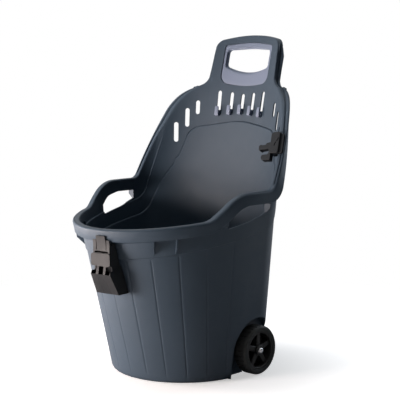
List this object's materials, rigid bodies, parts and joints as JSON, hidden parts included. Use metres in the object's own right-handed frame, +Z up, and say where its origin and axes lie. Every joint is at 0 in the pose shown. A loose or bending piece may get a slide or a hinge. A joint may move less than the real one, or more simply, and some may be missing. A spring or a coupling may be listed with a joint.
{
  "type": "wheeled garden utility cart",
  "caption": "Wheeled plastic garden cart: deep fluted tub with a high slotted back, handle frame, tool hooks and clip-on holders.",
  "frame": {"origin": "middle of the round foot, on the floor", "axes": "+Z up, low front rim toward -Y, tall back with the handle toward +Y, axle along X"},
  "size_m": [0.5014, 0.5999, 0.847],
  "materials": {
    "tub_plastic": "satin",
    "trim_plastic": "satin",
    "clip_plastic": "satin",
    "wheel_plastic": "satin",
    "tyre_rubber": "matte",
    "axle_steel": "satin",
    "cap_chrome": "polished"
  },
  "bodies": {
    "cart": {"tub": "tub_plastic", "handle_insert": "trim_plastic", "tool_hook_1": "trim_plastic", "tool_hook_2": "trim_plastic", "tool_hook_3": "trim_plastic", "tool_hook_4": "trim_plastic", "tool_hook_5": "trim_plastic", "front_clip": "clip_plastic", "wing_clip_mount": "clip_plastic", "wing_clip_jaw": "clip_plastic", "axle": "axle_steel", "axle_cap_right": "cap_chrome", "axle_cap_left": "cap_chrome", "hub_washer_right": "axle_steel", "hub_washer_left": "axle_steel"},
    "right_wheel": {"wheel_right": "wheel_plastic", "tyre_right": "tyre_rubber"},
    "left_wheel": {"wheel_left": "wheel_plastic", "tyre_left": "tyre_rubber"}
  },
  "joints": [
    {"name": "right_wheel_spin", "type": "hinge", "parent": "cart", "child": "right_wheel", "pos_m": [0.1885, 0.061, 0.0625], "axis": [1, 0, 0], "continuous": true},
    {"name": "left_wheel_spin", "type": "hinge", "parent": "cart", "child": "left_wheel", "pos_m": [-0.1885, 0.061, 0.0625], "axis": [1, 0, 0], "continuous": true}
  ]
}
